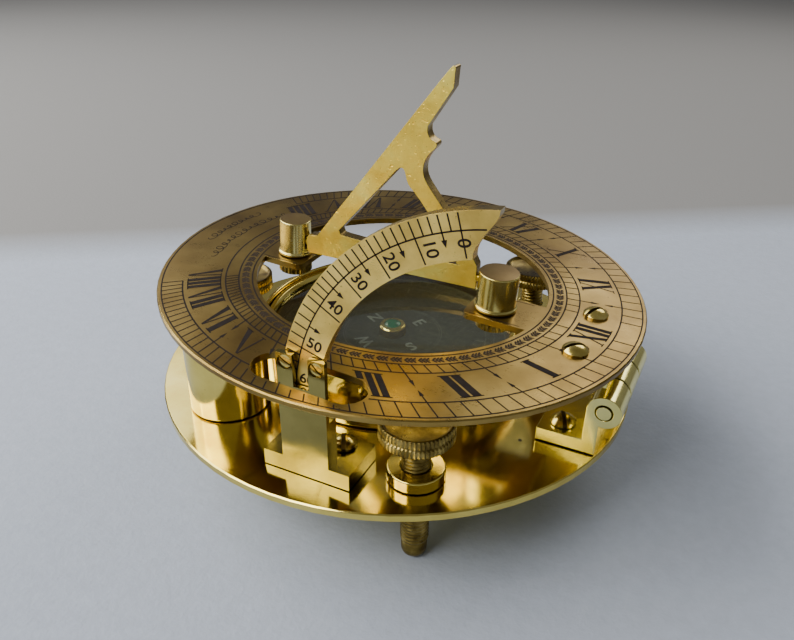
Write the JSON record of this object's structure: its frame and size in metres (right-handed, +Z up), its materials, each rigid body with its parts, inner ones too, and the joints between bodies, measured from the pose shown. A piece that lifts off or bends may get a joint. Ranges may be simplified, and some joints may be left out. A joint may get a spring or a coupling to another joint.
{
  "type": "sundial compass",
  "caption": "Brass universal sundial: a hinged hour ring with a folding gnomon and a latitude arc over a compass, on three levelling screws.",
  "frame": {"origin": "on the base disc's axis, at the height of the three foot tips", "axes": "+Z up; +X from the disc's centre towards the dial's hinge; the latitude arc stands at -Y"},
  "size_m": [0.1286, 0.127, 0.1051],
  "materials": {
    "polished_brass": "mirror polish with fine scratches",
    "pale_brass": "machined and lightly polished",
    "cast_brass": "cast, filed and hand polished, with pits",
    "aged_brass": "aged satin with black filled engraving",
    "dull_brass": "dull, worn at the edges",
    "glass": "clear polished",
    "card": "matt dark print on thin aluminium",
    "jewel": "clear green, polished",
    "magnet_steel": "plain",
    "steel": "hardened, bright"
  },
  "bodies": {
    "base": {"base_plate": "polished_brass", "foot_bush_1": "polished_brass", "foot_bush_2": "polished_brass", "foot_bush_3": "polished_brass", "dial_rest_pillar": "polished_brass", "pillar_screw": "dull_brass", "compass_bowl": "polished_brass", "bowl_screw_1": "dull_brass", "bowl_screw_2": "dull_brass", "bowl_screw_3": "dull_brass", "compass_glass": "glass", "glass_ring": "polished_brass", "pivot_pin": "steel", "arc_post": "pale_brass", "arc_post_screw_1": "dull_brass", "arc_post_screw_2": "dull_brass", "latitude_arc": "cast_brass", "arc_clamp_screw_1": "dull_brass", "arc_clamp_screw_2": "dull_brass", "hinge_base_leaf": "pale_brass", "hinge_base_screw_1": "dull_brass", "hinge_base_screw_2": "dull_brass", "hinge_pin": "pale_brass"},
    "dial": {"dial_plate": "aged_brass", "hinge_dial_leaf": "pale_brass", "hinge_dial_screw_1": "dull_brass", "hinge_dial_screw_2": "dull_brass", "knob_south": "polished_brass", "knob_north": "polished_brass", "knob_nut_south": "dull_brass", "knob_nut_north": "dull_brass"},
    "gnomon": {"gnomon": "cast_brass"},
    "card": {"compass_card": "card", "card_magnet_1": "magnet_steel", "card_magnet_2": "magnet_steel", "card_cap": "polished_brass", "cap_jewel": "jewel"},
    "stud_1": {"levelling_screw_1": "dull_brass"},
    "stud_2": {"levelling_screw_2": "dull_brass"},
    "stud_3": {"levelling_screw_3": "dull_brass"},
    "head_1": {"thumb_head_1": "dull_brass"},
    "head_2": {"thumb_head_2": "dull_brass"},
    "head_3": {"thumb_head_3": "dull_brass"}
  },
  "joints": [
    {"name": "dial_tilt", "type": "hinge", "parent": "base", "child": "dial", "pos_m": [0.061, -0.004, 0.0354], "axis": [0, 1, 0], "range_deg": [0, 57]},
    {"name": "gnomon_fold", "type": "hinge", "parent": "dial", "child": "gnomon", "pos_m": [0, -0.004, 0.0552], "axis": [1, 0, 0], "range_deg": [-88, 45]},
    {"name": "card_spin", "type": "hinge", "parent": "base", "child": "card", "pos_m": [-0.002, 0.001, 0.0306], "axis": [0, 0, 1], "continuous": true},
    {"name": "foot_1_rise", "type": "slide", "parent": "base", "child": "stud_1", "axis": [0, 0, 1], "range_m": [-0.006, 0.004]},
    {"name": "foot_1_turn", "type": "hinge", "parent": "stud_1", "child": "head_1", "pos_m": [0.02616, -0.04354, 0.0365], "axis": [0, 0, 1], "range_deg": [-2160, 1440]},
    {"name": "foot_2_rise", "type": "slide", "parent": "base", "child": "stud_2", "axis": [0, 0, 1], "range_m": [-0.006, 0.004]},
    {"name": "foot_2_turn", "type": "hinge", "parent": "stud_2", "child": "head_2", "pos_m": [0.02463, 0.04443, 0.0365], "axis": [0, 0, 1], "range_deg": [-2160, 1440]},
    {"name": "foot_3_rise", "type": "slide", "parent": "base", "child": "stud_3", "axis": [0, 0, 1], "range_m": [-0.006, 0.004]},
    {"name": "foot_3_turn", "type": "hinge", "parent": "stud_3", "child": "head_3", "pos_m": [-0.05079, -0.00089, 0.0365], "axis": [0, 0, 1], "range_deg": [-2160, 1440]}
  ],
  "couplings": [
    {"joint": "foot_1_rise", "follows": "foot_1_turn", "m_per_rad": 0.00015915},
    {"joint": "foot_2_rise", "follows": "foot_2_turn", "m_per_rad": 0.00015915},
    {"joint": "foot_3_rise", "follows": "foot_3_turn", "m_per_rad": 0.00015915}
  ]
}
